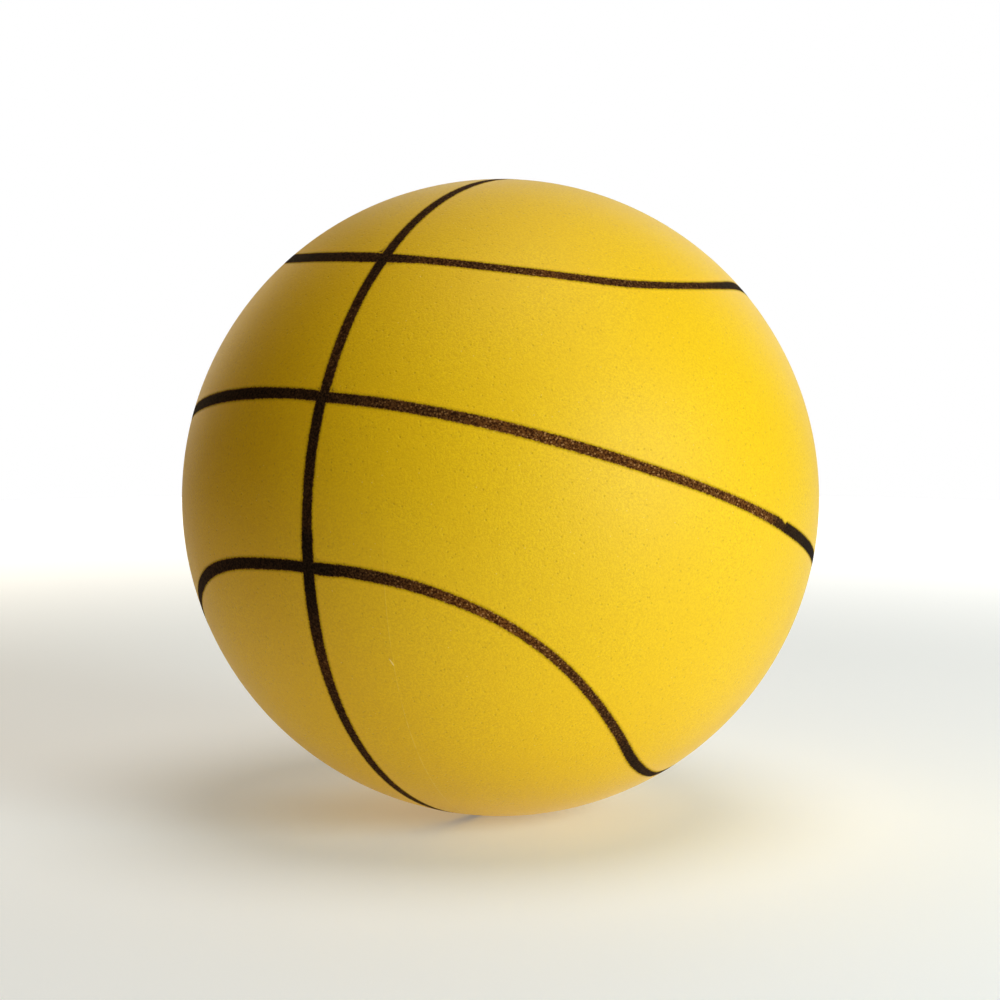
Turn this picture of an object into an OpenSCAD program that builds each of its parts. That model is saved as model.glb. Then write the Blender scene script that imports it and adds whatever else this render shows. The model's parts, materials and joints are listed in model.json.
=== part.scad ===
// Inflatable playground rubber ball with sprayed basketball lines, in millimetres.
// The origin is the ball's centre and +Z is up. The mould halves meet in the plane X = 0,
// and the valve sits on the -X side.

/* [Ball] */
// Outside diameter of the cover
ball_d = 216; // [150:1:260]
// Thickness of the coloured outer rubber ply
cover_t = 1.2; // [1:0.1:2]
// Thickness of the inner rubber ply
ply_t = 0.5; // [0.4:0.1:1]
// Depth of the nylon thread winding
winding_t = 0.5; // [0.3:0.1:1]
// Thickness of the butyl bladder
bladder_t = 0.7; // [0.5:0.1:1.2]

/* [Seams] */
// Turn of the inner ply's seam away from the cover's parting plane, in degrees
ply_seam_turn = 40; // [20:1:60]
// Turn of the bladder's seam away from the cover's parting plane, in degrees
bladder_seam_turn = 40; // [20:1:60]
// Width of the strip over the bladder's seam
seam_strip_w = 12; // [6:1:20]
// Thickness of the strip over the bladder's seam
seam_strip_t = 0.5; // [0.3:0.1:1]

/* [Valve] */
// Radius of the valve housing's neck, and of the hole that it fills in every layer
neck_r = 5; // [4.6:0.1:7]
// Depth of the neck's end face below the outside of the ball
neck_recess = 0.4; // [0.2:0.1:1]
// Width of the raised ring that the mould leaves round the valve hole
ring_w = 1.3; // [0.8:0.1:2]
// Height of the raised ring
ring_h = 0.3; // [0.1:0.05:0.5]
// Radius of the housing's boss inside the ball
boss_r = 6.5; // [6:0.1:9]
// Length of the housing from its end face to the boss's inner end
housing_l = 16; // [14:1:24]
// Radius of the housing's flange
flange_r = 13; // [9:1:18]
// Thickness of the housing's flange
flange_t = 1.2; // [0.8:0.1:2]
// Radius of the cloth patch under the flange
patch_r = 20; // [19:1:30]
// Thickness of the cloth patch
patch_t = 0.6; // [0.3:0.1:1]
// Radius of the plug's stem
stem_r = 2.9; // [2.4:0.1:3.2]
// Running clearance round the plug, on the radius
plug_gap = 0.05; // [0.01:0.01:0.1]
// Radius of the plug's head
head_r = 4; // [3.8:0.1:4.2]
// Thickness of the plug's head
head_t = 0.8; // [0.5:0.1:1.2]
// Room under the plug's head
head_room = 0.3; // [0.1:0.1:0.5]
// Length by which the plug's tip stands out of the housing
tip_out = 1; // [0:0.5:3]
// Length of the plug's tapered tip
tip_taper = 2; // [1:0.5:3]
// Radius of the needle channel
channel_r = 1; // [0.8:0.05:1.3]
// Depth of the needle channel, which ends at the closed slit
channel_l = 13.5; // [8:0.5:14]

/* [Painted lines] */
// Width of a line
line_w = 3.8; // [2:0.1:8]
// Thickness of the paint
line_t = 0.1; // [0.05:0.01:0.3]
// Angle from the true great circle to the cross line, in degrees
cross_offset = 1.1; // [0:0.1:3]
// Lean of the cross line from square, in degrees
cross_lean = -0.5; // [-3:0.1:3]
// Middle distance of a side line from the centre line, in degrees
side_mean = 36.3; // [32:0.1:38]
// Swing of a side line about its middle distance, in degrees
side_wave = 10.7; // [4:0.1:12]
// Second swing, at twice the rate, which flattens the middle and sharpens the bends
side_ripple = 2.2; // [0:0.1:3]
// Angle round the ball from a side line's middle to its bend, in degrees
side_reach = 98.4; // [80:0.1:100]
// Turn of the upper side line about the centre line's axis, in degrees
upper_shift = 5.1; // [-8:0.1:8]
// Turn of the lower side line about the centre line's axis, in degrees
lower_shift = 2.6; // [-8:0.1:8]
// Turn of the whole line pattern on the ball, in degrees about X, Y and Z
pattern_turn = [-21.2, 1.9, -15.4]; // [-180:0.1:180]

/* [Hidden] */

$fn = 180;
// Enough to pass a cut clear through any layer
through = 5;
// Rings along a side line
side_rings = 144;

ball_r = ball_d / 2;
ply_r = ball_r - cover_t;
winding_r = ply_r - ply_t;
bladder_r = winding_r - winding_t;
bladder_in_r = bladder_r - bladder_t;
patch_in_r = bladder_in_r - patch_t;

// Heights along the valve's axis, measured from the ball's centre
neck_top = ball_r - neck_recess;
boss_end = neck_top - housing_l;
plug_end = boss_end - tip_out;
head_floor = neck_top - head_t - head_room;

// Half a line's width, as an angle at the ball's centre
line_half = asin(line_w / 2 / ball_r);

// The valve's axis: +Z of the children points out of the ball along -X
module on_valve_axis() {
    rotate([0, -90, 0]) children();
}

// Section of a shell between two radii, from its pole at +Y down to its rim at X
module shell_section(outer, inner) {
    intersection() {
        difference() {
            circle(outer);
            circle(inner);
        }
        square(outer);
    }
}

// Cup with its pole at +Z and its rim in the plane Z = 0
module cup(outer, inner) {
    rotate_extrude() shell_section(outer, inner);
}

// Cup with a round hole at its pole
module holed_cup(outer, inner) {
    rotate_extrude() difference() {
        shell_section(outer, inner);
        square([neck_r, outer + through]);
    }
}

// Round piece of a shell, centred on the pole at +Z, with the neck's hole in it
module shell_disc(outer, inner, disc_r) {
    rotate_extrude() intersection() {
        shell_section(outer, inner);
        translate([neck_r, 0]) square([disc_r - neck_r, outer]);
    }
}

module neck_hole() {
    on_valve_axis() cylinder(r = neck_r, h = ball_r + through);
}

module cover_valve_half() {
    color([0.93, 0.76, 0.12]) on_valve_axis() {
        holed_cup(ball_r, ply_r);
        rotate_extrude() intersection() {
            difference() {
                circle(ball_r + ring_h);
                circle(ball_r - cover_t / 2);
            }
            translate([neck_r, 0]) square([ring_w, ball_r + through]);
        }
    }
}

module cover_plain_half() {
    color([0.93, 0.76, 0.12]) rotate([0, 90, 0]) cup(ball_r, ply_r);
}

module ply_valve_half() {
    color([0.25, 0.24, 0.23]) difference() {
        rotate([0, ply_seam_turn - 90, 0]) cup(ply_r, winding_r);
        neck_hole();
    }
}

module ply_plain_half() {
    color([0.25, 0.24, 0.23]) rotate([0, ply_seam_turn + 90, 0]) cup(ply_r, winding_r);
}

module nylon_winding() {
    color([0.92, 0.91, 0.86]) on_valve_axis() rotate_extrude() difference() {
        circle(winding_r);
        circle(bladder_r);
        translate([-winding_r - through, -winding_r - through])
            square([winding_r + through, 2 * (winding_r + through)]);
        square([neck_r, winding_r + through]);
    }
}

module bladder_turn() {
    rotate([0, 0, bladder_seam_turn]) children();
}

module bladder_valve_half() {
    color([0.1, 0.1, 0.1]) difference() {
        bladder_turn() on_valve_axis() cup(bladder_r, bladder_in_r);
        neck_hole();
    }
}

module bladder_plain_half() {
    color([0.1, 0.1, 0.1]) bladder_turn() rotate([0, 90, 0]) cup(bladder_r, bladder_in_r);
}

module bladder_seam_strip() {
    color([0.16, 0.15, 0.15]) bladder_turn() rotate([0, 90, 0]) rotate_extrude() intersection() {
        difference() {
            circle(bladder_in_r);
            circle(bladder_in_r - seam_strip_t);
        }
        translate([0, -seam_strip_w / 2]) square([bladder_in_r, seam_strip_w]);
    }
}

module valve_patch() {
    color([0.55, 0.5, 0.42]) on_valve_axis() shell_disc(bladder_in_r, patch_in_r, patch_r);
}

module valve_housing() {
    color([0.12, 0.12, 0.12]) on_valve_axis() difference() {
        union() {
            translate([0, 0, boss_end]) cylinder(r = neck_r, h = housing_l);
            intersection() {
                translate([0, 0, boss_end]) cylinder(r = boss_r, h = housing_l);
                sphere(patch_in_r - flange_t / 2);
            }
            shell_disc(patch_in_r, patch_in_r - flange_t, flange_r);
        }
        translate([0, 0, boss_end - through])
            cylinder(r = stem_r + plug_gap, h = housing_l + 2 * through);
        translate([0, 0, head_floor]) cylinder(r = head_r + plug_gap, h = through);
    }
}

module valve_plug() {
    color([0.2, 0.2, 0.2]) on_valve_axis() difference() {
        union() {
            translate([0, 0, neck_top - head_t]) cylinder(r = head_r, h = head_t);
            translate([0, 0, plug_end + tip_taper])
                cylinder(r = stem_r, h = neck_top - head_t / 2 - plug_end - tip_taper);
            translate([0, 0, plug_end]) cylinder(r1 = stem_r - 1, r2 = stem_r, h = tip_taper);
        }
        translate([0, 0, neck_top - channel_l]) cylinder(r = channel_r, h = channel_l + through);
    }
}

// Film of paint round the ball between two planes across +Z, centred at an angle above Z = 0
module band(above) {
    rotate_extrude() intersection() {
        difference() {
            circle(ball_r + line_t);
            circle(ball_r);
        }
        translate([0, ball_r * sin(above) - line_w / 2]) square([ball_r + through, line_w]);
    }
}

// The cross line's own place: +Z of the children is the line's axis
module on_cross_axis() {
    rotate([0, cross_lean + 90, 0]) children();
}

// Space that the cross line takes, cut out of each line that it crosses
module cross_room() {
    on_cross_axis() translate([0, 0, ball_r * sin(cross_offset)])
        cube([3 * ball_r, 3 * ball_r, line_w], center = true);
}

// Angle round from a side line's middle, stretched so that its bend falls at 90 degrees
function stretched(a) =
    a < side_reach ? a * 90 / side_reach : 90 + (a - side_reach) * 90 / (180 - side_reach);

// Distance of a side line from the centre line, in degrees, at an angle round from its middle
function side_height(a) =
    let (m = stretched(abs((a + 540) % 360 - 180)))
    side_mean - side_wave * cos(2 * m) + side_ripple * cos(4 * m);

// Direction to a side line's middle: up is 1 for the upper line and -1 for the lower one
function side_point(a, shift, up) =
    let (height = up * side_height(a - shift))
    [cos(height) * sin(a), -cos(height) * cos(a), sin(height)];

// Four corners of the line's wall at one angle, from inside the cover to outside the paint
function wall_ring(a, step, shift, up) =
    let (
        p = side_point(a, shift, up),
        along = side_point(a + step, shift, up) - side_point(a - step, shift, up),
        across = cross(p, along) / norm(along),
        left = p * cos(line_half) + across * sin(line_half),
        right = p * cos(line_half) - across * sin(line_half)
    )
    [left * (ball_r - 1), right * (ball_r - 1), right * (ball_r + 1), left * (ball_r + 1)];

// Closed wall that stands on the ball along a side line
module side_wall(shift, up) {
    step = 360 / side_rings;
    points = [for (i = [0 : side_rings - 1]) each wall_ring(i * step, step, shift, up)];
    faces = [
        for (i = [0 : side_rings - 1], k = [0 : 3])
            let (
                a = 4 * i + k,
                b = 4 * i + (k + 1) % 4,
                c = 4 * ((i + 1) % side_rings) + (k + 1) % 4,
                d = 4 * ((i + 1) % side_rings) + k
            )
            each [[a, c, b], [a, d, c]]
    ];
    polyhedron(points, faces);
}

module paint(tone) {
    color(tone) rotate(pattern_turn) children();
}

module cross_line() {
    paint([0.1, 0.07, 0.04]) on_cross_axis() band(cross_offset);
}

module centre_line() {
    paint([0.2, 0.1, 0.05]) difference() {
        band(0);
        cross_room();
    }
}

module side_line(shift, up) {
    paint([0.14, 0.08, 0.04]) difference() {
        intersection() {
            difference() {
                sphere(ball_r + line_t);
                sphere(ball_r);
            }
            side_wall(shift, up);
        }
        cross_room();
    }
}

module upper_side_line() {
    side_line(upper_shift, 1);
}

module lower_side_line() {
    side_line(lower_shift, -1);
}

cover_valve_half();
cover_plain_half();
ply_valve_half();
ply_plain_half();
nylon_winding();
bladder_valve_half();
bladder_plain_half();
bladder_seam_strip();
valve_patch();
valve_housing();
valve_plug();
cross_line();
centre_line();
upper_side_line();
lower_side_line();
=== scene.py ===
"""Looks of the playground rubber ball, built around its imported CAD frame. Metres, row frame."""

import json
import math

import bmesh
import bpy
import numpy as np
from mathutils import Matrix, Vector


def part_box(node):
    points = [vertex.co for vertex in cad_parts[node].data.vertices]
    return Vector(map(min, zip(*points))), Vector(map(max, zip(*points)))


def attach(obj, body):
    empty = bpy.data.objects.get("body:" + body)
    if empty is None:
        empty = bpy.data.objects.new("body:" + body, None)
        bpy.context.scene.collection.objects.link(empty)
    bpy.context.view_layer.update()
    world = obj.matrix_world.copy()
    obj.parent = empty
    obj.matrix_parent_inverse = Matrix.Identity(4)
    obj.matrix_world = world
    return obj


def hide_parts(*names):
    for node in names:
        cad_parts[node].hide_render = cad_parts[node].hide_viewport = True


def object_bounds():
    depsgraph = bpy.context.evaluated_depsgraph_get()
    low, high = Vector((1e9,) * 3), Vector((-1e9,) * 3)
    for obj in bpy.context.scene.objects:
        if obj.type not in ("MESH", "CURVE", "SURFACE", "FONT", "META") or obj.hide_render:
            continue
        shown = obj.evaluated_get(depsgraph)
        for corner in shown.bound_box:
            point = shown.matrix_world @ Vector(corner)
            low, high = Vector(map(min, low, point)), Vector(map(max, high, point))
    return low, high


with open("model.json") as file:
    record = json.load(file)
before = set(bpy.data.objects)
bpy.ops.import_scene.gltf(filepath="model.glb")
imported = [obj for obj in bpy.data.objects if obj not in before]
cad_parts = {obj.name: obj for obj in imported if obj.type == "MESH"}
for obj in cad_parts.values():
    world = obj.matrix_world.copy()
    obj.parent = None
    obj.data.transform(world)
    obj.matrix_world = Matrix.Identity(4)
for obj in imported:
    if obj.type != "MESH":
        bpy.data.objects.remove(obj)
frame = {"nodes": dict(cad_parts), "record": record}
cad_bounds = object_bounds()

MM = 0.001

# ---------------------------------------------------------------- sizes

BALL_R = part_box("cover_plain_half")[1].x
COVER_T = 1.2 * MM
# The skin lies just under the CAD surface, so that the parting ridge and the paint stay in the CAD box
SKIN_R = BALL_R - 0.05 * MM
COVER_IN_R = BALL_R - COVER_T

# Square rings of quads from a dome's pole to its rim, and the ring that becomes the valve hole's edge
DOME_RINGS = 100
HOLE_RING = 14
HOLE_RING_ARC = 7.4 * MM

# Raised line where the mould halves meet: its height, its half width, and where a cup's grid stops
RIDGE_H = 0.045 * MM
RIDGE_HALF = 0.34 * MM
RIDGE_ROOM = 1.3 * RIDGE_HALF

# The ridge is trimmed close above the middle, and a painted highlight along it shows clearly low on the
# ball and fades above its middle. Heights are from the ball's centre, as shares of its radius
TRIM_HEIGHTS = (-0.15, 0.0)
TRIM_SHARES = (1.0, 0.2)
SEAM_HEIGHTS = (-0.6, -0.4, -0.15, 0.0)
SEAM_CLEARNESS = (1.0, 0.5, 0.4, 0.05)

# Short slanted scar where a bit of flash was torn off: its ends as x and degrees round the X axis
SCAR_FROM = (-1.2 * MM, 202.0)
SCAR_TO = (0.15 * MM, 203.4)
SCAR_HALF = 0.25 * MM
SCAR_H = 0.12 * MM

# The valve: the cover's bead, the plug and the housing. Heights are distances from the ball's centre
VALVE = frame["record"]["mounts"][0]
CHANNEL_R = VALVE["dims"]["r_mm"] * MM
CHANNEL_L = VALVE["dims"]["length_mm"] * MM
NECK_TOP = -VALVE["pos_m"][0]
NECK_R = 5 * MM
BEAD_W = 1.3 * MM
BEAD_H = 0.3 * MM
BEAD_SKIRT = 0.3 * MM
HEAD_R = 4 * MM
HEAD_T = 0.8 * MM
HEAD_ROOM = 0.3 * MM
STEM_R = 2.9 * MM
PLUG_GAP = 0.05 * MM
PLUG_END = -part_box("valve_plug")[1].x
TIP_TAPER = 2 * MM
TIP_R = STEM_R - 1 * MM
DISH_W = 1.3 * MM
DISH_DEPTH = 0.35 * MM
BOSS_END = -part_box("valve_housing")[1].x
BOSS_R = 6.5 * MM
FLANGE_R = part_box("valve_housing")[1].y
FLANGE_T = 1.2 * MM
FLANGE_OUT_R = 104.5 * MM
FLANGE_STEPS = (8 * MM, 10 * MM, 12 * MM)
LATHE_SEGMENTS = 144

# The painted line pattern, as in the CAD source: angles in degrees about the ball's centre
PATTERN_TURN = (-21.2, 1.9, -15.4)
CROSS_OFFSET = 1.1
CROSS_LEAN = -0.5
SIDE_MEAN = 36.3
SIDE_WAVE = 10.7
SIDE_RIPPLE = 2.2
SIDE_REACH = 98.4
UPPER_SHIFT = 5.1
LOWER_SHIFT = 2.6

# A ribbon of paint: the bare fringe beside the paint, its heights on the skin, and its mesh steps
FRINGE_W = 0.6 * MM
UNDERLAP = 0.5 * MM
FILM_H = 0.03 * MM
FRINGE_H = 0.003 * MM
TUCK = 0.03 * MM
RIBBON_STEPS = 1440
RIBBON_COLUMNS = 24

# In mm: the slope from a film's edge up to its full height, the band over which two lines' coats
# blend, and the range of edge distances that the materials use
FILM_SLOPE = 0.7
COAT_BLEND = 0.8
EDGE_RANGE = (-3, 6)

# Edges sharper than this many degrees stay sharp in a rebuilt piece
SHARP_ANGLE = 35

CAMERA_AZIMUTH = 19.1
CAMERA_ELEVATION = 5.3
CAMERA_DISTANCE = 7.5 * BALL_R
CAMERA_LENS = 85.3
CAMERA_SHIFT = (-0.0005, -0.0025)


# ---------------------------------------------------------------- line pattern

def turn_about(axis, degrees):
    """Rotation matrix about one of the axes "x", "y" and "z"."""
    c = math.cos(math.radians(degrees))
    s = math.sin(math.radians(degrees))
    rows = {
        "x": ((1, 0, 0), (0, c, -s), (0, s, c)),
        "y": ((c, 0, s), (0, 1, 0), (-s, 0, c)),
        "z": ((c, -s, 0), (s, c, 0), (0, 0, 1)),
    }
    return np.array(rows[axis])


PATTERN = (
    turn_about("z", PATTERN_TURN[2])
    @ turn_about("y", PATTERN_TURN[1])
    @ turn_about("x", PATTERN_TURN[0])
)
CROSS = PATTERN @ turn_about("y", CROSS_LEAN + 90) @ turn_about("z", 90)


def side_height(angle):
    """Distance of a side line from the centre line at an angle round from its middle, in degrees."""
    away = np.abs((angle + 540) % 360 - 180)
    bend = np.where(
        away < SIDE_REACH,
        away * 90 / SIDE_REACH,
        90 + (away - SIDE_REACH) * 90 / (180 - SIDE_REACH),
    )
    wave = np.cos(np.radians(2 * bend))
    ripple = np.cos(np.radians(4 * bend))
    return SIDE_MEAN - SIDE_WAVE * wave + SIDE_RIPPLE * ripple


class Line:
    """One painted line: it runs at height(angle) degrees above the equator of its own turned frame.

    stations tell how it was sprayed along its angle: (angle, width in mm, sideways shift in mm,
    coat). A coat is 0 where it's full and black, and 1 where it's thin and brown. Two stations
    close together are a step where the spray mask was moved on.
    """

    def __init__(self, node, turn, height, stations):
        self.node = node
        self.turn = turn
        self.height = height
        self.stations = np.array(stations).T

    def direction(self, angle):
        """Unit directions of the line's nominal middle at these angles."""
        a = np.radians(angle)
        h = np.radians(self.height(angle))
        local = np.stack([np.cos(h) * np.sin(a), -np.cos(h) * np.cos(a), np.sin(h)], axis=-1)
        return local @ self.turn.T

    def place(self, directions):
        """Angle along the line in degrees, and signed distance across it in mm, of unit directions."""
        local = directions @ self.turn
        angle = np.degrees(np.arctan2(local[:, 0], -local[:, 1]))
        latitude = np.degrees(np.arcsin(np.clip(local[:, 2], -1, 1)))
        rise = self.height(angle + 0.5) - self.height(angle - 0.5)
        slope = rise / np.cos(np.radians(self.height(angle)))
        across = np.radians(latitude - self.height(angle)) * SKIN_R / MM
        return angle, across / np.sqrt(1 + slope**2)

    def span(self, angle):
        """The paint's half width and its sideways shift at these angles, in mm."""
        angles, widths, shifts, coats = self.stations
        return np.interp(angle, angles, widths) / 2, np.interp(angle, angles, shifts)

    def edge_and_coat(self, directions):
        """Signed distance in mm to the paint's edge, negative in the paint, and the coat there."""
        angle, across = self.place(directions)
        half, shift = self.span(angle)
        return np.abs(across - shift) - half, np.interp(angle, self.stations[0], self.stations[3])


CROSS_STATIONS = (
    (-180, 3.7, 0.4, 0.25),
    (-125, 3.8, 0.4, 0.2),
    (-116, 4.2, 0.55, 0.05),
    (-110, 3.8, 0.35, 0.25),
    (-97, 3.8, 0.4, 0.3),
    (-91, 3.8, 0.4, 0.1),
    (-89, 4.0, -0.1, 0.05),
    (-82, 3.9, 0.0, 0.1),
    (-69, 3.8, 0.3, 0.15),
    (-67, 4.3, 0.45, 0.0),
    (-58, 4.4, 0.45, 0.0),
    (-51, 4.4, 0.3, 0.15),
    (-45, 4.1, 0.2, 0.4),
    (-38, 3.8, 0.1, 0.2),
    (-15, 3.5, -0.3, 0.25),
    (180, 3.7, 0.4, 0.25),
)
CENTRE_STATIONS = (
    (-180, 3.9, 0.5, 0.0),
    (-35, 4.1, 0.0, 0.05),
    (-15, 4.1, 0.25, 0.05),
    (-5, 3.5, 0.2, 0.1),
    (-1, 3.6, 0.0, 0.1),
    (1, 3.4, -0.3, 0.1),
    (14, 3.5, -0.1, 0.4),
    (26, 3.5, -0.2, 0.45),
    (32, 3.6, -0.2, 0.75),
    (46, 3.5, -0.5, 0.8),
    (58, 3.2, -0.5, 0.8),
    (70, 2.9, 0.0, 0.75),
    (80, 3.1, 0.3, 0.95),
    (86, 3.4, 0.45, 0.7),
    (87.5, 3.6, 0.5, 0.3),
    (89.5, 3.5, 0.5, 0.2),
    (91.1, 2.8, 0.1, 0.15),
    (91.6, 3.8, 0.55, 0.05),
    (95, 3.9, 0.65, 0.05),
    (105, 3.9, 0.9, 0.0),
    (180, 3.9, 0.5, 0.0),
)
UPPER_STATIONS = (
    (-180, 4.0, -0.4, 0.1),
    (-20, 4.5, -0.45, 0.05),
    (-3, 4.6, -0.6, 0.15),
    (4, 4.0, -0.5, 0.15),
    (10, 3.2, -0.2, 0.4),
    (15, 3.2, -0.1, 0.45),
    (20, 3.2, 0.0, 0.3),
    (34, 3.1, 0.45, 0.65),
    (41, 3.1, 0.25, 0.45),
    (50, 3.2, -0.4, 0.35),
    (60, 2.9, -0.35, 0.3),
    (70, 2.9, -0.45, 0.2),
    (78, 3.2, -0.45, 0.05),
    (90, 3.9, 0.2, 0.05),
    (180, 4.0, -0.4, 0.1),
)
LOWER_STATIONS = (
    (-180, 4.2, 0.1, 0.1),
    (-70, 4.1, 0.4, 0.1),
    (-46, 4.1, 0.7, 0.1),
    (-38, 4.2, 0.1, 0.1),
    (-28, 4.1, -0.05, 0.1),
    (-20, 3.9, -0.25, 0.05),
    (-10, 3.8, -0.65, 0.05),
    (0, 3.6, -0.6, 0.0),
    (6, 4.2, -0.5, 0.0),
    (9, 3.9, 0.0, 0.15),
    (15, 3.9, 0.3, 0.25),
    (22, 3.7, 0.5, 0.45),
    (32, 3.3, 0.4, 0.85),
    (40, 3.0, 0.4, 1.0),
    (50, 3.0, 0.1, 0.75),
    (62, 3.0, -0.15, 0.55),
    (71, 3.0, 0.0, 0.35),
    (80, 3.2, 0.45, 0.3),
    (86, 3.4, 0.45, 0.1),
    (94, 3.6, 0.4, 0.05),
    (98, 3.5, 0.3, 0.05),
    (101, 3.4, 0.1, 0.05),
    (104, 3.3, -0.3, 0.1),
    (107, 3.1, -0.95, 0.1),
    (110, 2.9, -1.8, 0.05),
    (113, 2.8, -2.7, 0.05),
    (116, 2.9, -3.7, 0.05),
    (124, 3.8, -4.2, 0.1),
    (140, 4.1, -2.0, 0.1),
    (165, 4.2, 0.0, 0.1),
    (180, 4.2, 0.1, 0.1),
)


def cross_height(angle):
    return np.full_like(angle, CROSS_OFFSET)


def upper_height(angle):
    return side_height(angle - UPPER_SHIFT)


def lower_height(angle):
    return -side_height(angle - LOWER_SHIFT)


CROSS_LINE = Line("cross_line", CROSS, cross_height, CROSS_STATIONS)
LINES = (
    CROSS_LINE,
    Line("centre_line", PATTERN, np.zeros_like, CENTRE_STATIONS),
    Line("upper_side_line", PATTERN, upper_height, UPPER_STATIONS),
    Line("lower_side_line", PATTERN, lower_height, LOWER_STATIONS),
)


def paint_fields(directions):
    """Distance to the nearest paint edge in mm, and the coat, over all the lines."""
    edge = np.full(len(directions), np.inf)
    coat = np.ones(len(directions))
    for line in LINES:
        line_edge, line_coat = line.edge_and_coat(directions)
        cover = np.clip(0.5 - line_edge / COAT_BLEND, 0, 1)
        edge = np.minimum(edge, line_edge)
        coat = np.minimum(coat, 1 - cover * (1 - line_coat))
    return edge, coat


# ---------------------------------------------------------------- meshes

def new_piece(name, points, faces):
    """A mesh object with outward normals, smooth but for its sharp edges."""
    mesh = bpy.data.meshes.new(name)
    mesh.from_pydata(points, [], faces)
    shape = bmesh.new()
    shape.from_mesh(mesh)
    bmesh.ops.recalc_face_normals(shape, faces=shape.faces)
    shape.to_mesh(mesh)
    shape.free()
    mesh.shade_smooth()
    mesh.set_sharp_from_angle(angle=math.radians(SHARP_ANGLE))
    piece = bpy.data.objects.new(name, mesh)
    bpy.context.scene.collection.objects.link(piece)
    return piece


def store(piece, name, values):
    """Keeps one number for each vertex, which a material reads by name."""
    attribute = piece.data.attributes.new(name, "FLOAT", "POINT")
    attribute.data.foreach_set("value", np.asarray(values, np.float32))


def store_paint(piece, edge, coat):
    store(piece, "paint_edge", np.clip(edge, *EDGE_RANGE))
    store(piece, "paint_coat", coat)


def stand_for(piece, node, body):
    """The piece rides on its body and is shown instead of its CAD node."""
    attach(piece, body)
    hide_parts(node)
    return piece


def dome_grid(first_ring):
    """Square rings of vertices that are bent to circles: each vertex's ring and azimuth, and the quads.

    Rings inside first_ring are left out, which leaves a round hole.
    """
    span = np.arange(-DOME_RINGS, DOME_RINGS + 1)
    i, j = (a.ravel() for a in np.meshgrid(span, span, indexing="ij"))
    ring = np.maximum(np.abs(i), np.abs(j))
    flat = np.abs(i) >= np.abs(j)
    major = np.where(flat, i, j)
    minor = np.where(flat, j, i)
    part = math.pi / 4 * minor / np.where(major == 0, 1, major)
    azimuth = np.where(flat, part, math.pi / 2 - part) + np.where(major < 0, math.pi, 0)
    kept = np.flatnonzero(ring >= first_ring)
    number = np.full(len(ring), -1)
    number[kept] = np.arange(len(kept))
    side = len(span)
    corner = np.flatnonzero((i < DOME_RINGS) & (j < DOME_RINGS))
    quads = number[np.stack([corner, corner + side, corner + side + 1, corner + 1], axis=1)]
    quads = quads[(quads >= 0).all(axis=1)]
    return ring[kept], azimuth[kept] % (2 * math.pi), quads


def in_order(ring, azimuth, chosen):
    """The vertices of one ring, in order of azimuth."""
    found = np.flatnonzero(ring == chosen)
    return found[np.argsort(azimuth[found])]


def ring_arcs(last_arc):
    """Arc length from the pole to each ring: fine at the valve, coarser towards the rim."""
    a, b = np.linalg.solve(
        [[HOLE_RING, HOLE_RING**2], [DOME_RINGS, DOME_RINGS**2]],
        [HOLE_RING_ARC, last_arc],
    )
    rings = np.arange(DOME_RINGS + 1)
    return a * rings + b * rings**2


def strip(first, second):
    """Quads that join two closed rows of vertices of the same length."""
    quads = np.stack([first, np.roll(first, -1), np.roll(second, -1), second], axis=1)
    return quads.tolist()


def shell_height(radius, r):
    """On a sphere about the ball's centre: height at r from an axis, or distance from it at height r."""
    return math.sqrt(radius**2 - r**2)


def ridge_height(azimuth, x):
    """Height of the parting ridge, which is worn unevenly and trimmed close above the middle."""
    shape = max(0.0, 1 - x / RIDGE_HALF) ** 0.7
    trim = np.interp(np.sin(azimuth), TRIM_HEIGHTS, TRIM_SHARES)
    wear = 0.75 + 0.25 * np.sin(5 * azimuth + 1.0) * np.sin(13 * azimuth)
    return trim * shape * RIDGE_H * wear


def on_skin(x, angle):
    """Point of the skin at x, at an angle in degrees round the X axis from +Y."""
    radius = shell_height(SKIN_R, x)
    a = math.radians(angle)
    return np.array([x, radius * math.cos(a), radius * math.sin(a)])


def torn_flash():
    """Points and faces of the scar: a low closed blister, long and narrow, half sunk in the skin."""
    start = on_skin(*SCAR_FROM)
    end = on_skin(*SCAR_TO)
    middle = (start + end) / 2
    lengthwise = (end - start) / 2
    outward = middle / np.linalg.norm(middle)
    across = np.cross(outward, lengthwise / np.linalg.norm(lengthwise)) * SCAR_HALF
    points = [middle - lengthwise]
    rings = 9
    segments = 12
    for t in np.linspace(-1, 1, rings + 2)[1:-1]:
        size = math.sqrt(1 - t * t) * (0.8 + 0.2 * math.sin(4 * t))
        for a in np.arange(segments) * 2 * math.pi / segments:
            spoke = across * math.cos(a) + outward * SCAR_H * math.sin(a)
            points.append(middle + lengthwise * t + spoke * size)
    points.append(middle + lengthwise)
    rows = [1 + n * segments + np.arange(segments) for n in range(rings)]
    faces = []
    for first, second in zip(rows, rows[1:]):
        faces += strip(first, second)
    for n in range(segments):
        m = (n + 1) % segments
        faces.append([0, int(rows[0][n]), int(rows[0][m])])
        faces.append([len(points) - 1, int(rows[-1][m]), int(rows[-1][n])])
    return np.array(points), faces


def hole_profile():
    """Distance from the axis, and height along it, down the valve's bead and the wall of its hole."""
    foot = NECK_R + BEAD_W + BEAD_SKIRT
    rise = shell_height(SKIN_R, NECK_R + BEAD_W / 2)
    profile = [(foot, shell_height(SKIN_R, foot))]
    for a in np.linspace(0.05, math.pi - 0.25, 12):
        profile.append((NECK_R + BEAD_W / 2 * (1 + math.cos(a)), rise + BEAD_H * math.sin(a)))
    for share in (0.0, 0.33, 0.67, 1.0):
        profile.append((NECK_R, rise * (1 - share) + shell_height(COVER_IN_R, NECK_R) * share))
    return profile


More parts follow.
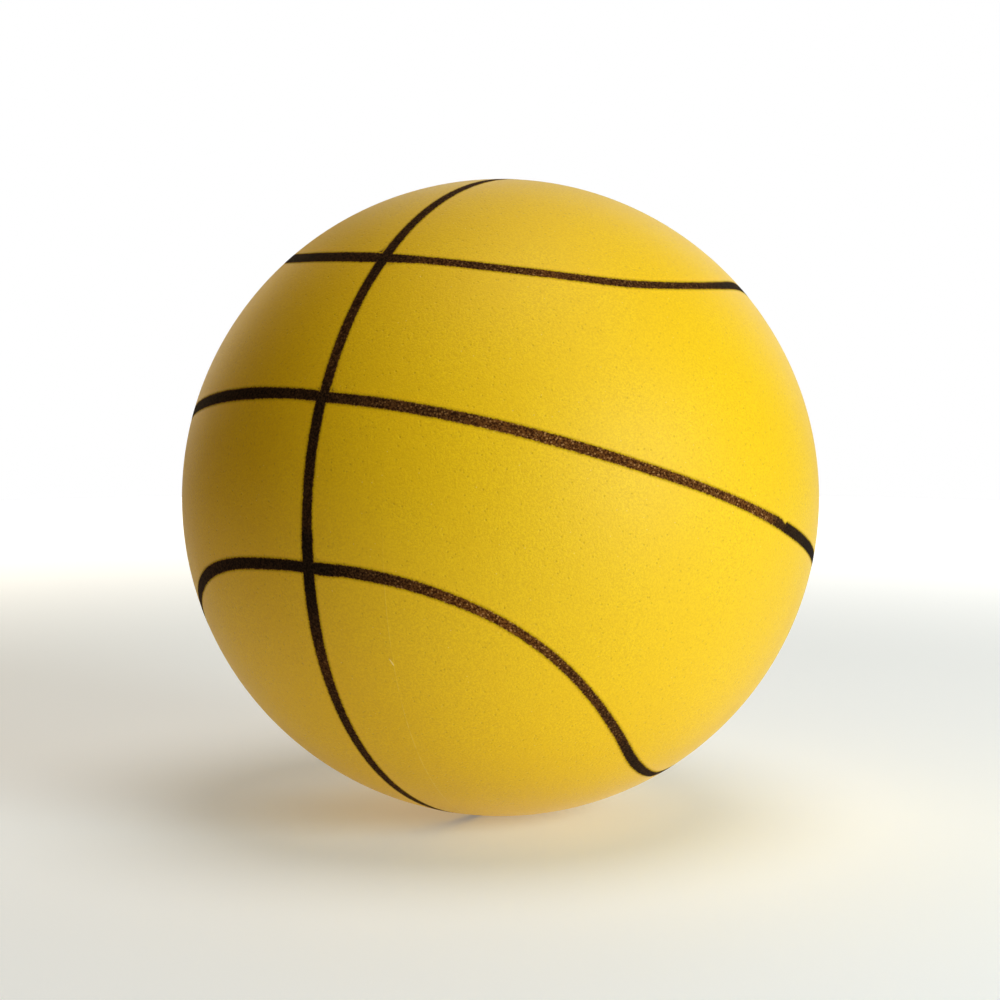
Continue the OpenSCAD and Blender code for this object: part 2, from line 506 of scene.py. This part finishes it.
def cover_half(node, side):
    """One cup of the cover. side is 1 for the plain half and -1 for the half with the valve hole."""
    holed = side < 0
    ring, azimuth, quads = dome_grid(HOLE_RING if holed else 0)
    theta = ring_arcs(SKIN_R * math.pi / 2 - RIDGE_ROOM)[ring] / SKIN_R
    unit = np.stack(
        [np.cos(theta), np.sin(theta) * np.cos(azimuth), np.sin(theta) * np.sin(azimuth)],
        axis=1,
    )
    count = len(unit)
    points = [unit * SKIN_R, unit * COVER_IN_R]
    faces = quads.tolist() + (quads + count).tolist()

    def add_row(edge, x, radius):
        """A new row of vertices beside an edge of the grid, at x and at a distance from the X axis."""
        start = sum(len(p) for p in points)
        radius = radius + np.zeros(len(edge))
        around = azimuth[edge]
        row = [np.full(len(edge), x), radius * np.cos(around), radius * np.sin(around)]
        points.append(np.stack(row, axis=1))
        return start + np.arange(len(edge))

    rim = in_order(ring, azimuth, DOME_RINGS)
    rows = [rim]
    for share in (1.0, 0.75, 0.5, 0.25, 0.0):
        x = RIDGE_HALF * share
        rows.append(add_row(rim, x, shell_height(SKIN_R, x) + ridge_height(azimuth[rim], x)))
    rows.append(add_row(rim, 0.0, COVER_IN_R))
    rows.append(rim + count)
    for first, second in zip(rows, rows[1:]):
        faces += strip(first, second)
    if holed:
        edge = in_order(ring, azimuth, HOLE_RING)
        rows = [edge]
        for radius, height in hole_profile():
            rows.append(add_row(edge, height, radius))
        rows.append(edge + count)
        for first, second in zip(rows, rows[1:]):
            faces += strip(first, second)

    points = np.concatenate(points) * (side, 1, 1)
    scar = np.zeros(len(points))
    if holed:
        scar_points, scar_faces = torn_flash()
        faces += [[len(points) + n for n in face] for face in scar_faces]
        points = np.concatenate([points, scar_points])
        scar = np.concatenate([scar, np.ones(len(scar_points))])
    piece = new_piece(node + "_skin", points, faces)
    edge, coat = paint_fields(points / np.linalg.norm(points, axis=1, keepdims=True))
    store_paint(piece, edge, coat)
    # The parting line gets a painted highlight, clear low on the ball and hardly showing above its
    # middle
    clearness = np.interp(points[:, 2] / SKIN_R, SEAM_HEIGHTS, SEAM_CLEARNESS)
    nearness = np.clip(1 - 2 * np.abs(points[:, 0]) / RIDGE_HALF, 0, 1)
    store(piece, "seam", nearness * clearness)
    store(piece, "scar", scar)
    return stand_for(piece, node, "ball")


def ribbon(line):
    """The film of paint of one line, as a closed thin solid that feathers into the skin."""
    angle = np.arange(RIBBON_STEPS) * 360 / RIBBON_STEPS - 180
    middle = line.direction(angle)
    sideways = np.cross(middle, line.direction(angle + 0.1) - line.direction(angle - 0.1))
    sideways /= np.linalg.norm(sideways, axis=1, keepdims=True)
    half, shift = line.span(angle)
    reach = (half * MM + FRINGE_W)[:, None]
    across = np.linspace(-1, 1, RIBBON_COLUMNS + 1) * reach + shift[:, None] * MM
    turn = across[:, :, None] / SKIN_R
    unit = middle[:, None, :] * np.cos(turn) + sideways[:, None, :] * np.sin(turn)
    unit = unit.reshape(-1, 3)
    edge, coat = paint_fields(unit)

    thick = np.clip(-edge / FILM_SLOPE, 0, 1).reshape(RIBBON_STEPS, -1)
    height = FRINGE_H + (FILM_H - FRINGE_H) * thick
    height[:, (0, -1)] = -TUCK
    kept = np.ones(RIBBON_STEPS, bool)
    if line is not CROSS_LINE:
        # The other lines dip under the cross line's ribbon and stop there
        to_cross_line = CROSS_LINE.edge_and_coat(unit)[0].reshape(height.shape) * MM
        past_crossing = to_cross_line - FRINGE_W + UNDERLAP
        kept = (past_crossing > 0).any(axis=1)
        height -= np.clip(1 - past_crossing / UNDERLAP, 0, 1) * (FILM_H + TUCK)
    points = unit * (SKIN_R + height.reshape(-1, 1))

    columns = RIBBON_COLUMNS + 1
    faces = []
    for i in range(RIBBON_STEPS):
        k = (i + 1) % RIBBON_STEPS
        if not (kept[i] and kept[k]):
            continue
        for c in range(RIBBON_COLUMNS):
            faces.append((i * columns + c, i * columns + c + 1, k * columns + c + 1, k * columns + c))
        faces.append((i * columns, k * columns, (k + 1) * columns - 1, (i + 1) * columns - 1))
        if not kept[i - 1]:
            faces.append(tuple(i * columns + c for c in range(columns)))
        if not kept[(k + 1) % RIBBON_STEPS]:
            faces.append(tuple(k * columns + c for c in range(columns)))
    used = np.unique(np.concatenate([np.array(f) for f in faces]))
    number = np.full(len(points), -1)
    number[used] = np.arange(len(used))
    faces = [number[list(f)].tolist() for f in faces]
    piece = new_piece(line.node + "_paint", points[used], faces)
    store_paint(piece, edge[used], coat[used])
    return stand_for(piece, line.node, "ball")


def rounded(profile):
    """Outline of a profile whose corners are (radius from the axis, height, fillet)."""
    outline = []
    for n, (r, h, fillet) in enumerate(profile):
        corner = np.array([r, h])
        if fillet == 0:
            outline.append(corner)
            continue
        before = np.array(profile[n - 1][:2]) - corner
        after = np.array(profile[(n + 1) % len(profile)][:2]) - corner
        before /= np.linalg.norm(before)
        after /= np.linalg.norm(after)
        half = math.acos(np.clip(before @ after, -1, 1)) / 2
        start = corner + before * fillet / math.tan(half)
        end = corner + after * fillet / math.tan(half)
        middle = (before + after) / np.linalg.norm(before + after)
        centre = corner + middle * fillet / math.sin(half)
        for share in np.linspace(0, 1, 6):
            spoke = (start - centre) * (1 - share) + (end - centre) * share
            outline.append(centre + spoke / np.linalg.norm(spoke) * fillet)
    return outline


def lathe(name, profile):
    """A solid turned about the valve's axis, whose outline is closed or ends on the axis."""
    outline = rounded(profile)
    azimuth = np.arange(LATHE_SEGMENTS) * 2 * math.pi / LATHE_SEGMENTS
    points = []
    rows = []
    for r, h in outline:
        if r == 0:
            rows.append(np.full(LATHE_SEGMENTS, len(points)))
            points.append((-h, 0.0, 0.0))
            continue
        rows.append(len(points) + np.arange(LATHE_SEGMENTS))
        points += [(-h, r * math.cos(a), r * math.sin(a)) for a in azimuth]
    pairs = list(zip(rows, rows[1:]))
    if outline[0][0] > 0:
        pairs.append((rows[-1], rows[0]))
    faces = []
    for first, second in pairs:
        for quad in strip(first, second):
            faces.append(list(dict.fromkeys(quad)))
    return new_piece(name, points, faces)


def valve_housing():
    """The bonded rubber boss: flange, neck, plug bore and the seat for the plug's head."""
    bore = STEM_R + PLUG_GAP
    seat = HEAD_R + PLUG_GAP
    seat_floor = NECK_TOP - HEAD_T - HEAD_ROOM
    flange_in_r = FLANGE_OUT_R - FLANGE_T
    profile = [
        (bore, seat_floor, 0.12 * MM),
        (bore, BOSS_END, 0.2 * MM),
        (BOSS_R, BOSS_END, 0.8 * MM),
        (BOSS_R, shell_height(flange_in_r, BOSS_R), 0.8 * MM),
    ]
    for r in FLANGE_STEPS:
        profile.append((r, shell_height(flange_in_r, r), 0))
    profile.append((FLANGE_R, shell_height(flange_in_r, FLANGE_R), 0.3 * MM))
    profile.append((FLANGE_R, shell_height(FLANGE_OUT_R, FLANGE_R), 0.1 * MM))
    for r in reversed(FLANGE_STEPS):
        profile.append((r, shell_height(FLANGE_OUT_R, r), 0))
    profile += [
        (NECK_R, shell_height(FLANGE_OUT_R, NECK_R), 0.1 * MM),
        (NECK_R, NECK_TOP, 0.3 * MM),
        (seat, NECK_TOP, 0.15 * MM),
        (seat, seat_floor, 0.15 * MM),
    ]
    piece = lathe("valve_housing_rubber", profile)
    return stand_for(piece, "valve_housing", "ball")


def valve_plug():
    """The push-in plug: a tapered stem, a rounded head with a dished needle entry, and its channel."""
    head_under = NECK_TOP - HEAD_T
    channel_end = NECK_TOP - CHANNEL_L
    profile = [
        (0, PLUG_END, 0),
        (TIP_R, PLUG_END, 0.4 * MM),
        (STEM_R, PLUG_END + TIP_TAPER, 0.8 * MM),
        (STEM_R, head_under, 0.12 * MM),
        (HEAD_R, head_under, 0.15 * MM),
        (HEAD_R, NECK_TOP, 0.3 * MM),
        (CHANNEL_R + DISH_W, NECK_TOP, 0.2 * MM),
        (CHANNEL_R + 1.0 * MM, NECK_TOP - 0.2 * MM, 0.2 * MM),
        (CHANNEL_R, NECK_TOP - DISH_DEPTH, 0.2 * MM),
        (CHANNEL_R, channel_end, 0.3 * MM),
        (0, channel_end, 0),
    ]
    piece = lathe("valve_plug_rubber", profile)
    return stand_for(piece, "valve_plug", "plug")


# ---------------------------------------------------------------- materials

class Finish:
    """A material under construction: short calls that add nodes and return their sockets."""

    def __init__(self, name, **constants):
        self.material = bpy.data.materials.new(name)
        self.material.use_nodes = True
        self.tree = self.material.node_tree
        self.tree.nodes.clear()
        self.shader = self.tree.nodes.new("ShaderNodeBsdfPrincipled")
        output = self.tree.nodes.new("ShaderNodeOutputMaterial")
        self.tree.links.new(self.shader.outputs["BSDF"], output.inputs["Surface"])
        self.where = self.tree.nodes.new("ShaderNodeTexCoord").outputs["Object"]
        for socket, value in constants.items():
            self.shader.inputs[socket].default_value = value

    def put(self, socket, value):
        """Links a socket's value in, or sets a plain colour or number."""
        if isinstance(value, bpy.types.NodeSocket):
            self.tree.links.new(value, socket)
        elif isinstance(value, tuple):
            socket.default_value = (*value, 1.0)
        else:
            socket.default_value = value

    def math(self, operation, a, b=0.0):
        node = self.tree.nodes.new("ShaderNodeMath")
        node.operation = operation
        self.put(node.inputs[0], a)
        self.put(node.inputs[1], b)
        return node.outputs[0]

    def noise(self, per_metre, detail=2.0, roughness=0.5):
        node = self.tree.nodes.new("ShaderNodeTexNoise")
        self.put(node.inputs["Vector"], self.where)
        node.inputs["Scale"].default_value = per_metre
        node.inputs["Detail"].default_value = detail
        node.inputs["Roughness"].default_value = roughness
        return node.outputs["Fac"]

    def cells(self, per_metre):
        """Distance to the nearest of many scattered points, in cells."""
        node = self.tree.nodes.new("ShaderNodeTexVoronoi")
        self.put(node.inputs["Vector"], self.where)
        node.inputs["Scale"].default_value = per_metre
        return node.outputs["Distance"]

    def ramp(self, value, low, high):
        """0 below low and 1 above high, smooth between. low may be the greater."""
        node = self.tree.nodes.new("ShaderNodeMapRange")
        node.interpolation_type = "SMOOTHSTEP"
        self.put(node.inputs["Value"], value)
        self.put(node.inputs["From Min"], low)
        self.put(node.inputs["From Max"], high)
        return node.outputs["Result"]

    def mix(self, share, a, b):
        node = self.tree.nodes.new("ShaderNodeMix")
        node.data_type = "RGBA"
        self.put(node.inputs["Factor"], share)
        self.put(node.inputs[6], a)
        self.put(node.inputs[7], b)
        return node.outputs[2]

    def attribute(self, name):
        node = self.tree.nodes.new("ShaderNodeAttribute")
        node.attribute_name = name
        return node.outputs["Fac"]

    def waves(self, per_metre, direction, where=None):
        node = self.tree.nodes.new("ShaderNodeTexWave")
        node.bands_direction = direction
        self.put(node.inputs["Vector"], where or self.where)
        node.inputs["Scale"].default_value = per_metre
        return node.outputs["Fac"]

    def distance(self):
        """Distance from the object's origin."""
        node = self.tree.nodes.new("ShaderNodeVectorMath")
        node.operation = "LENGTH"
        self.put(node.inputs[0], self.where)
        return node.outputs["Value"]

    def along(self, direction):
        """How far a point lies from the object's origin in that direction."""
        node = self.tree.nodes.new("ShaderNodeVectorMath")
        node.operation = "DOT_PRODUCT"
        self.put(node.inputs[0], self.where)
        node.inputs[1].default_value = direction
        return node.outputs["Value"]

    def seen(self):
        """1 for what the camera sees directly, and 0 for the light that a surface gives to others."""
        return self.tree.nodes.new("ShaderNodeLightPath").outputs["Is Camera Ray"]

    def turned(self, x, y, z):
        """The object's coordinates turned by these angles in degrees."""
        node = self.tree.nodes.new("ShaderNodeMapping")
        self.put(node.inputs["Vector"], self.where)
        node.inputs["Rotation"].default_value = [math.radians(a) for a in (x, y, z)]
        return node.outputs["Vector"]

    def finish(self, colour, roughness, height, depth):
        """Sets colour, roughness and a bump of that depth in metres, and returns the material."""
        bump = self.tree.nodes.new("ShaderNodeBump")
        bump.inputs["Strength"].default_value = 1.0
        bump.inputs["Distance"].default_value = depth
        self.put(bump.inputs["Height"], height)
        self.put(self.shader.inputs["Normal"], bump.outputs["Normal"])
        self.put(self.shader.inputs["Base Color"], colour)
        self.put(self.shader.inputs["Roughness"], roughness)
        return self.material


SKIN_LIGHT = (0.86, 0.553, 0.003)
SKIN_DARK = (0.74, 0.433, 0.002)
SKIN_WARM = (0.80, 0.48, 0.002)
SKIN_PIT = (0.48, 0.25, 0.003)
SKIN_PALE_SPARKLE_AND_SCAR = (0.95, 0.80, 0.35)
SEAM_HIGHLIGHT_PALE = (0.94, 0.74, 0.16)
COAT_BLACK = (0.008, 0.0045, 0.0025)
COAT_BLACK_GRAIN = (0.026, 0.015, 0.008)
COAT_BROWN = (0.045, 0.013, 0.003)
COAT_BROWN_GRAIN = (0.19, 0.068, 0.014)
COAT_PAINTED_GLINT = (0.42, 0.20, 0.065)
COAT_SPECULAR = (0.12, 0.10, 0.08)


def cover_material(name, **constants):
    """Matte yellow rubber with a fine sand grain and pinholes, sprayed dark where the lines run; painted
    sparkles, seam highlight and glints.
    """
    s = Finish(name, **constants)
    grain = s.noise(1500, detail=2.5, roughness=0.6)
    fine = s.noise(2900, detail=1.0)
    broad = s.noise(45, detail=2.0)
    pits = s.ramp(s.cells(450), 0.23, 0.03)
    # Painted sparkles: rare pale specks stand in for light glinting on the grain; the same pale colour
    # tints the scar
    painted_sparkles = s.ramp(s.cells(300), 0.065, 0.02)
    speckle = s.math("ADD", s.math("MULTIPLY", grain, 0.65), s.math("MULTIPLY", fine, 0.35))
    yellow = s.mix(s.ramp(speckle, 0.36, 0.64), SKIN_DARK, SKIN_LIGHT)
    yellow = s.mix(s.math("MULTIPLY", s.ramp(broad, 0.35, 0.65), 0.35), yellow, SKIN_WARM)
    yellow = s.mix(s.math("MULTIPLY", pits, 0.4), yellow, SKIN_PIT)
    yellow = s.mix(s.math("MULTIPLY", painted_sparkles, 0.5), yellow, SKIN_PALE_SPARKLE_AND_SCAR)
    # Painted highlight: a broken pale line along the parting ridge stands in for light caught on it
    painted_seam_highlight = s.math("MULTIPLY", s.attribute("seam"), s.ramp(s.noise(260, detail=3.0), 0.34, 0.56))
    yellow = s.mix(s.math("MULTIPLY", painted_seam_highlight, 0.55), yellow, SEAM_HIGHLIGHT_PALE)
    yellow = s.mix(s.math("MULTIPLY", s.attribute("scar"), 0.5), yellow, SKIN_PALE_SPARKLE_AND_SCAR)

    coat = s.attribute("paint_coat")
    blotches = s.ramp(grain, 0.40, 0.62)
    full = s.mix(blotches, COAT_BLACK, COAT_BLACK_GRAIN)
    thin = s.mix(blotches, COAT_BROWN, COAT_BROWN_GRAIN)
    # Painted glints: pale tan dots on the thin brown coat stand in for light caught on the grain's tips
    painted_glints = s.math("MULTIPLY", s.ramp(s.cells(950), 0.40, 0.16), s.ramp(s.noise(700), 0.32, 0.56))
    thin = s.mix(painted_glints, thin, COAT_PAINTED_GLINT)
    paint = s.mix(coat, full, thin)

    fuzz = s.math("MULTIPLY", s.math("SUBTRACT", s.noise(1400, detail=3.0, roughness=0.65), 0.5), 1.2)
    edge = s.math("ADD", s.attribute("paint_edge"), fuzz)
    painted = s.ramp(edge, 0.34, -0.30)
    mist = s.math("MULTIPLY", s.ramp(edge, 1.1, 0.1), 0.28)
    colour = s.mix(mist, yellow, COAT_BROWN)
    colour = s.mix(painted, colour, paint)

    height = s.math("ADD", grain, s.math("MULTIPLY", fine, 0.4))
    height = s.math("SUBTRACT", height, s.math("MULTIPLY", pits, 0.8))
    roughness = s.math("ADD", 0.48, s.math("MULTIPLY", fine, 0.12))
    roughness = s.math("ADD", roughness, s.math("MULTIPLY", painted, 0.35))
    s.put(s.shader.inputs["Specular Tint"], s.mix(painted, (1.0, 1.0, 1.0), COAT_SPECULAR))
    return s.finish(colour, roughness, height, 0.10 * MM)


def rubber_material(name, dark, light, per_metre, roughness=0.5):
    """Plain moulded rubber: a cloudy colour and gloss, and a fine grain."""
    s = Finish(name, **{"IOR": 1.5})
    grain = s.noise(per_metre, detail=3.0)
    cloud = s.noise(120, detail=3.0)
    colour = s.mix(s.ramp(cloud, 0.35, 0.7), dark, light)
    gloss = s.math("ADD", roughness, s.math("MULTIPLY", s.ramp(cloud, 0.3, 0.7), 0.15))
    return s.finish(colour, gloss, grain, 0.03 * MM)


def winding_material():
    """Nylon thread wound over the bladder in many directions and wetted with latex."""
    s = Finish("wound_nylon", **{"IOR": 1.5, "Sheen Weight": 0.2})
    layers = [s.waves(700, "X", s.turned(25 * n, 40 * n, 15 * n)) for n in range(1, 5)]
    height = layers[0]
    for n, layer in enumerate(layers[1:]):
        height = s.math("MAXIMUM", height, s.math("MULTIPLY", layer, 0.95 - 0.1 * n))
    colour = s.mix(height, (0.42, 0.39, 0.30), (0.82, 0.80, 0.72))
    latex = s.math("MULTIPLY", s.ramp(s.noise(60), 0.45, 0.7), 0.4)
    colour = s.mix(latex, colour, (0.62, 0.54, 0.36))
    gloss = s.math("SUBTRACT", 0.6, s.math("MULTIPLY", height, 0.15))
    return s.finish(colour, gloss, height, 0.15 * MM)


def cloth_material():
    """Rubberised cloth of the valve patch, in a plain weave."""
    s = Finish("patch_cloth_weave", **{"IOR": 1.5, "Sheen Weight": 0.15})
    warp = s.waves(900, "Y")
    weft = s.waves(900, "Z")
    height = s.math("MAXIMUM", warp, weft)
    colour = s.mix(height, (0.16, 0.13, 0.09), (0.42, 0.36, 0.26))
    gloss = s.math("ADD", 0.6, s.math("MULTIPLY", warp, 0.2))
    return s.finish(colour, gloss, height, 0.12 * MM)


def finish_node(node, material):
    """Gives a carried CAD node its material."""
    cad = frame["nodes"][node]
    cad.data.materials.clear()
    cad.data.materials.append(material)


# ---------------------------------------------------------------- stage

def toward(azimuth, elevation):
    """Unit vector from the ball's centre: azimuth 0 is the front, -Y, and 90 is +X."""
    a = math.radians(azimuth)
    e = math.radians(elevation)
    return Vector((math.sin(a) * math.cos(e), -math.cos(a) * math.cos(e), math.sin(e)))


# Soft round lights: azimuth and elevation as the camera's, diameter in metres, watts and colour
LIGHT_DISTANCE = 1.4
LIGHTS = {
    "key_softbox": (67, 14, 0.7, 15.4, (0.875, 1.0, 1.0)),
    "top_softbox": (80, 78, 1.0, 10.4, (1.0, 0.9, 0.76)),
    "back_right_softbox": (169, 20, 0.9, 3.0, (0.9, 1.0, 1.0)),
    "back_softbox": (199, 40, 1.0, 2.2, (0.9, 1.0, 1.0)),
    "back_left_softbox": (-128, 14, 0.7, 3.1, (1.0, 0.80, 0.45)),
}

# The floor's own soft light, which is stronger far from the ball and warmer on its shady side
FLOOR_GLOW_NEAR = 0.28
FLOOR_GLOW_FAR = 0.95
FLOOR_GLOW_SPAN = (0.35, 1.15)
FLOOR_LIGHT = (1.0, 0.94, 0.86)
FLOOR_WARM = (0.64, 0.31, 0.11)
FLOOR_WARM_AZIMUTH = -40
FLOOR_WARM_SPAN = (0.0, 0.35)

# How much less the floor near the ball glows for the camera than for the ball
FLOOR_GLOW_DIMMED = 0.08


def soft_light(name, azimuth, elevation, size, power, colour):
    data = bpy.data.lights.new(name, "AREA")
    data.shape = "DISK"
    data.size = size
    data.energy = power
    data.color = colour
    light = bpy.data.objects.new(name, data)
    bpy.context.scene.collection.objects.link(light)
    away = toward(azimuth, elevation)
    light.location = away * LIGHT_DISTANCE
    light.rotation_euler = away.to_track_quat("Z", "Y").to_euler()


def studio_floor():
    """A wide pale round floor under the ball."""
    segments = 96
    rings = (0.3, 0.6, 0.9, 1.2)
    shape = bmesh.new()
    rows = []
    for radius in rings:
        angles = [2 * math.pi * n / segments for n in range(segments)]
        rows.append([shape.verts.new((radius * math.cos(a), radius * math.sin(a), 0)) for a in angles])
    shape.faces.new(rows[0])
    for inner, outer in zip(rows, rows[1:]):
        for n in range(segments):
            m = (n + 1) % segments
            shape.faces.new((inner[n], outer[n], outer[m], inner[m]))
    mesh = bpy.data.meshes.new("studio_floor")
    shape.to_mesh(mesh)
    shape.free()
    floor = bpy.data.objects.new("studio_floor", mesh)
    floor.location.z = cad_bounds[0].z
    bpy.context.scene.collection.objects.link(floor)
    s = Finish("studio_paper")
    far = s.ramp(s.distance(), *FLOOR_GLOW_SPAN)
    near = s.math("SUBTRACT", FLOOR_GLOW_NEAR, s.math("MULTIPLY", s.seen(), FLOOR_GLOW_DIMMED))
    glow = s.math("ADD", near, s.math("MULTIPLY", far, s.math("SUBTRACT", FLOOR_GLOW_FAR, near)))
    s.put(s.shader.inputs["Emission Strength"], glow)
    shady_side = s.ramp(s.along(toward(FLOOR_WARM_AZIMUTH, 0)), *FLOOR_WARM_SPAN)
    bounce = s.mix(shady_side, FLOOR_LIGHT, FLOOR_WARM)
    s.put(s.shader.inputs["Emission Color"], s.mix(s.seen(), bounce, FLOOR_LIGHT))
    shade = s.mix(s.noise(3, detail=1.0), (0.76, 0.80, 0.86), (0.79, 0.83, 0.89))
    floor.data.materials.append(s.finish(shade, 0.8, s.noise(900), 0.02 * MM))


def studio_world():
    """White behind the ball for the camera, and no light of its own."""
    world = bpy.data.worlds.new("studio")
    world.use_nodes = True
    tree = world.node_tree
    tree.nodes.clear()
    path = tree.nodes.new("ShaderNodeLightPath")
    mix = tree.nodes.new("ShaderNodeMixShader")
    output = tree.nodes.new("ShaderNodeOutputWorld")
    tree.links.new(path.outputs["Is Camera Ray"], mix.inputs[0])
    for socket, strength in ((1, 0.0), (2, 1.0)):
        background = tree.nodes.new("ShaderNodeBackground")
        background.inputs["Color"].default_value = (1, 1, 1, 1)
        background.inputs["Strength"].default_value = strength
        tree.links.new(background.outputs[0], mix.inputs[socket])
    tree.links.new(mix.outputs[0], output.inputs[0])
    bpy.context.scene.world = world


def studio_camera():
    data = bpy.data.cameras.new("camera")
    data.lens = CAMERA_LENS
    data.sensor_width = 36
    data.shift_x, data.shift_y = CAMERA_SHIFT
    data.clip_start = 0.01
    data.clip_end = 50
    camera = bpy.data.objects.new("camera", data)
    bpy.context.scene.collection.objects.link(camera)
    away = toward(CAMERA_AZIMUTH, CAMERA_ELEVATION)
    camera.location = away * CAMERA_DISTANCE
    camera.rotation_euler = away.to_track_quat("Z", "Y").to_euler()
    bpy.context.scene.camera = camera


# ---------------------------------------------------------------- build

studio_camera()
skin = cover_material(
    "bloomed_cover_rubber", **{"IOR": 1.34, "Sheen Weight": 0.2, "Sheen Roughness": 0.27}
)
for half, side in (("cover_valve_half", -1), ("cover_plain_half", 1)):
    cover_half(half, side).data.materials.append(skin)
film = cover_material("sprayed_line_film", **{"IOR": 1.34, "Specular IOR Level": 0.1})
for line in LINES:
    ribbon(line).data.materials.append(film)

valve_housing().data.materials.append(
    rubber_material("valve_rubber", (0.012, 0.012, 0.013), (0.03, 0.029, 0.028), 1400)
)
valve_plug().data.materials.append(
    rubber_material("plug_rubber", (0.032, 0.032, 0.034), (0.062, 0.060, 0.057), 1400)
)
ply = rubber_material("ply_rubber", (0.035, 0.033, 0.030), (0.07, 0.065, 0.06), 700)
butyl = rubber_material(
    "butyl_rubber", (0.006, 0.006, 0.007), (0.014, 0.014, 0.015), 400, roughness=0.38
)
for node in ("ply_valve_half", "ply_plain_half"):
    finish_node(node, ply)
for node in ("bladder_valve_half", "bladder_plain_half", "bladder_seam_strip"):
    finish_node(node, butyl)
finish_node("nylon_winding", winding_material())
finish_node("valve_patch", cloth_material())

studio_floor()
studio_world()
for name, settings in LIGHTS.items():
    soft_light(name, *settings)
bpy.context.scene.view_settings.view_transform = "Standard"
